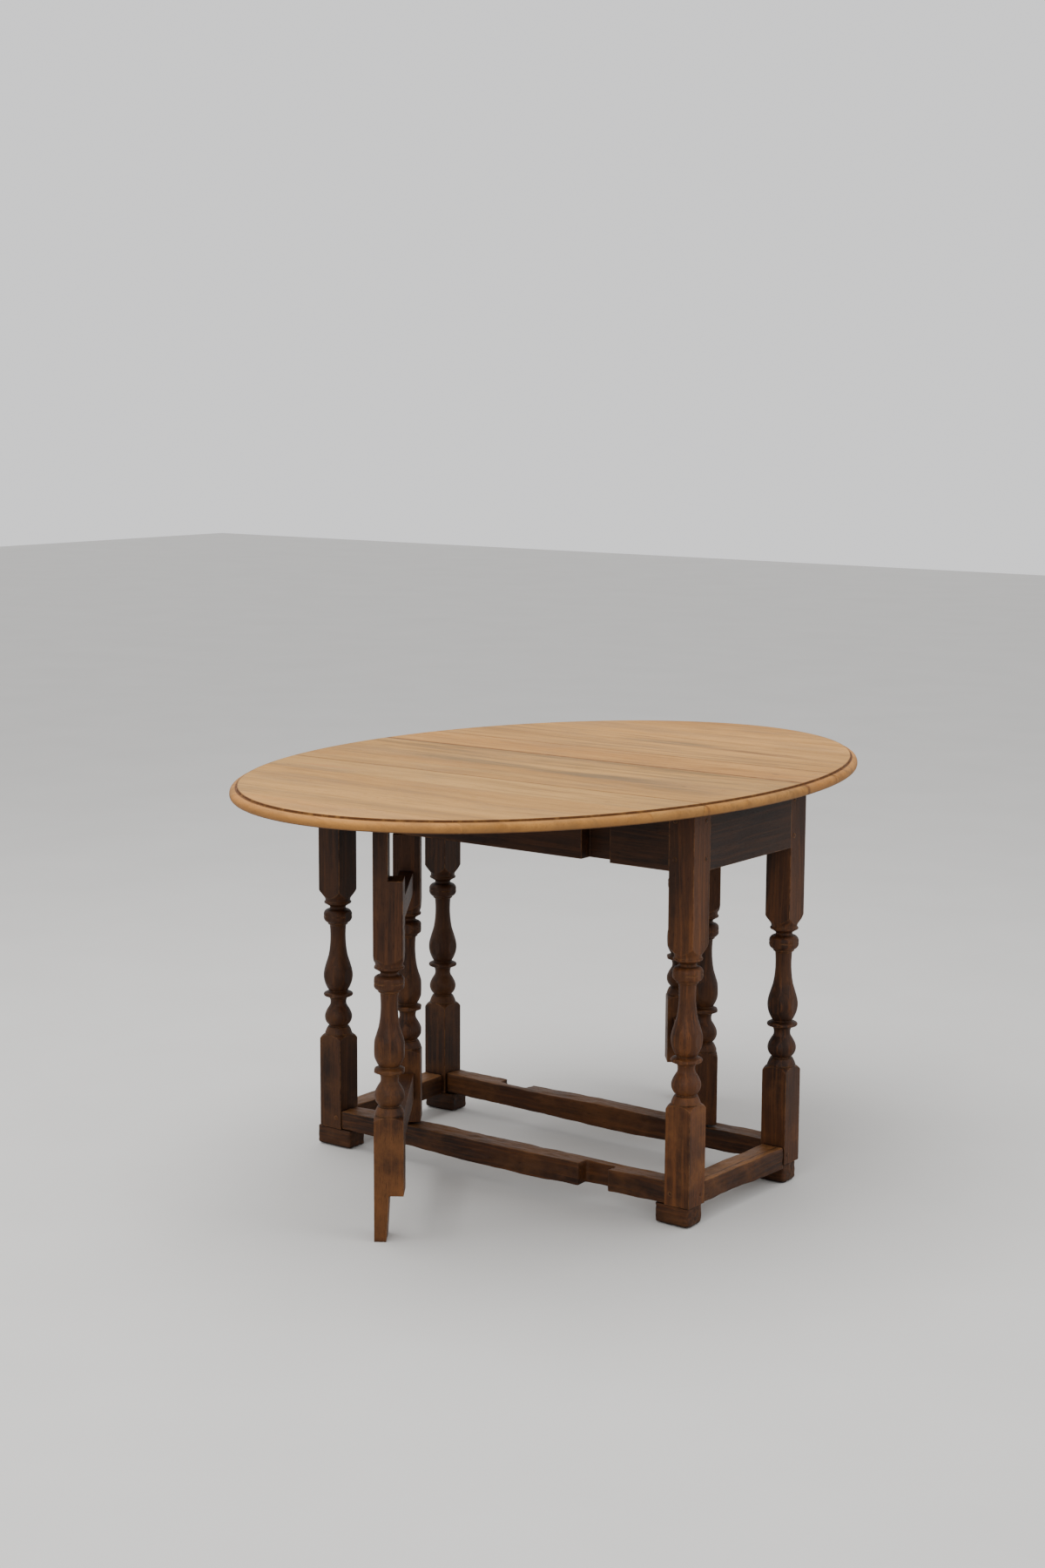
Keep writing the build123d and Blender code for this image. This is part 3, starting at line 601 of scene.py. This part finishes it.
def worn_copy(name, depth, seed, axis=0, top=LEVEL, bottom=LEVEL):
    """A copy of a timber with rounded arrises, dents and hollows, which replaces the CAD node."""
    source = NODES[name]
    piece = bpy.data.objects.new(name + "_worn", source.data.copy())
    bpy.context.scene.collection.objects.link(piece)
    remesh = piece.modifiers.new("remesh", "REMESH")
    remesh.mode = "VOXEL"
    remesh.voxel_size = VOXEL
    smooth = piece.modifiers.new("smooth", "SMOOTH")
    smooth.factor = 0.5
    smooth.iterations = SMOOTH_PASSES
    evaluated = piece.evaluated_get(bpy.context.evaluated_depsgraph_get())
    mesh = bpy.data.meshes.new_from_object(evaluated)
    piece.modifiers.clear()
    piece.data = mesh
    co = np.zeros(len(mesh.vertices) * 3)
    mesh.vertices.foreach_get("co", co)
    co = co.reshape(-1, 3)
    normal = np.zeros(len(mesh.vertices) * 3)
    mesh.vertices.foreach_get("normal", normal)
    normal = normal.reshape(-1, 3)
    low, high = co.min(0), co.max(0)
    stretch = np.full(3, DENTS_ACROSS)
    stretch[axis] = DENTS_ALONG
    points = co * stretch + seed
    broad = np.array([noise.noise(Vector(p)) for p in points])
    fine = np.array([noise.noise(Vector(p * FINE_DENTS + FINE_SHIFT)) for p in points])
    bite = depth * (EVEN_WEAR + BROAD_WEAR * broad + FINE_WEAR * fine)
    co -= normal * np.clip(bite, 0.0, None)[:, None]
    along = (co[:, axis] - low[axis]) / (high[axis] - low[axis])
    rise = (co[:, 2] - low[2]) / (high[2] - low[2])
    co[:, 2] += (1 - rise) * hermite(bottom, along) + rise * hermite(top, along)
    mesh.vertices.foreach_set("co", co.ravel())
    mesh.shade_smooth()
    mesh.update()
    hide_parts(name)
    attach(piece, BODY_OF[name])
    return piece


# lift of the top and bottom of a timber at even steps along it, and depth of wear, in metres
WORN_SHAPES = {
    "near_stretcher": {
        "top": (-0.005, -0.003, -0.0035, -0.002, 0.0),
        "bottom": (0.0, 0.001, 0.0, 0.001, 0.0),
        "depth": 0.0026,
        "seed": 1.3,
    },
    "far_stretcher": {
        "top": (-0.001, -0.003, -0.001, -0.003, -0.001),
        "bottom": (0.0, 0.001, 0.0, 0.001, 0.0),
        "depth": 0.0024,
        "seed": 4.7,
    },
    "right_end_stretcher": {
        "axis": 1,
        "top": (0.0, -0.002, -0.004, -0.005),
        "bottom": (0.003, 0.002, -0.001, -0.003),
        "depth": 0.0022,
        "seed": 8.2,
    },
    "left_end_stretcher": {
        "axis": 1,
        "top": (-0.004, -0.005, -0.002),
        "bottom": (0.0, 0.001, 0.001),
        "depth": 0.0022,
        "seed": 12.9,
    },
    "near_left_foot": {"depth": 0.0020, "seed": 2.2},
    "near_right_foot": {"depth": 0.0020, "seed": 5.6},
    "far_left_foot": {"depth": 0.0020, "seed": 9.4},
    "far_right_foot": {"depth": 0.0020, "seed": 14.8},
}

LOG_STEP = (1.37, 0.83, 0.59)
IRON = metal("hinge_iron", colour=(0.06, 0.055, 0.05), rust=(0.10, 0.04, 0.018), roughness=0.45)
STEEL = metal("screw_steel", colour=(0.20, 0.185, 0.165), rust=(0.12, 0.055, 0.025), roughness=0.38)
for i, (name, node) in enumerate(sorted(NODES.items())):
    if name in TOP_BOARDS:
        continue
    if "screw" in name:
        paint(node, STEEL)
    elif "flap" in name or "hinge" in name:
        paint(node, IRON)
    else:
        offset = tuple(step * i for step in LOG_STEP)
        finish = stained_oak(
            name + "_oak",
            timber_turn(name),
            offset,
            wear=timber_wear(name),
            glow=GATE_LEG_GLOW if "gate_leg" in name else 0.0,
            tread=timber_tread(name),
            shake=HIGH_RAIL - SHAKE_INSET if name == "right_end_stretcher" else None,
            tone=TIMBER_TONE.get(name, USUAL_TONE),
        )
        if name in WORN_SHAPES:
            paint(worn_copy(name, **WORN_SHAPES[name]), finish)
        paint(node, finish)

# ----------------------------------------------------- room, lights and camera

FLOOR_SIDE = 28.0
FLOOR_SHADES = ((0.56, 0.55, 0.53), (0.62, 0.61, 0.59))
FLOOR_ROUGHNESS = 0.7
FLOOR_SPECULAR = 0.2
bpy.ops.mesh.primitive_plane_add(size=FLOOR_SIDE, location=(MIDDLE.x, MIDDLE.y, LOW.z))
floor = bpy.context.object
floor.name = "floor"
g = Graph("pale_floor")
spread = g.noise(g.node("ShaderNodeTexCoord", output=3), 3.0, 4.0, 0.5)
g.put(g.shader.inputs["Base Color"], g.mix(spread, *FLOOR_SHADES))
g.shader.inputs["Roughness"].default_value = FLOOR_ROUGHNESS
g.shader.inputs["Specular IOR Level"].default_value = FLOOR_SPECULAR
paint(floor, g.material)

SKY_COLOUR = (0.97, 0.97, 0.98, 1.0)
SKY_STRENGTH = 1.10
world = bpy.data.worlds.new("studio")
bpy.context.scene.world = world
world.use_nodes = True
sky = world.node_tree.nodes["Background"]
sky.inputs[0].default_value = SKY_COLOUR
sky.inputs[1].default_value = SKY_STRENGTH


def softbox(name, offset, aim_height, size, watts):
    """A square area light that faces the table."""
    data = bpy.data.lights.new(name, "AREA")
    data.shape = "SQUARE"
    data.size = size
    data.energy = watts
    lamp = bpy.data.objects.new(name, data)
    bpy.context.scene.collection.objects.link(lamp)
    lamp.location = MIDDLE + Vector(offset)
    toward = MIDDLE + Vector((0.0, 0.0, aim_height)) - lamp.location
    lamp.rotation_mode = "QUATERNION"
    lamp.rotation_quaternion = toward.to_track_quat("-Z", "Y")


softbox("overhead", (-0.6, -0.4, 3.2), aim_height=0.4, size=2.8, watts=95)
softbox("front", (1.2, -3.6, 2.0), aim_height=0.3, size=2.2, watts=45)
softbox("side", (3.2, 0.6, 1.8), aim_height=0.3, size=1.8, watts=28)

CAMERA_OFFSET = Vector((2.5735, -3.5710, 1.3713))
CAMERA_YAW = radians(-36.565)
CAMERA_PITCH = radians(8.878)
CAMERA_ROLL = radians(0.286)
CAMERA_LENS = 58.38
CAMERA_SENSOR = 36.0
forward = Vector(
    (sin(CAMERA_YAW) * cos(CAMERA_PITCH), cos(CAMERA_YAW) * cos(CAMERA_PITCH), -sin(CAMERA_PITCH))
)
level = Vector((cos(CAMERA_YAW), -sin(CAMERA_YAW), 0.0))
upward = level.cross(forward)
right = cos(CAMERA_ROLL) * level + sin(CAMERA_ROLL) * upward
up = -sin(CAMERA_ROLL) * level + cos(CAMERA_ROLL) * upward
camera = bpy.data.objects.new("camera", bpy.data.cameras.new("camera"))
bpy.context.scene.collection.objects.link(camera)
camera.data.lens = CAMERA_LENS
camera.data.sensor_width = CAMERA_SENSOR
axes = Matrix((right, up, -forward)).transposed().to_4x4()
camera.matrix_world = Matrix.Translation(MIDDLE + CAMERA_OFFSET) @ axes
bpy.context.scene.camera = camera
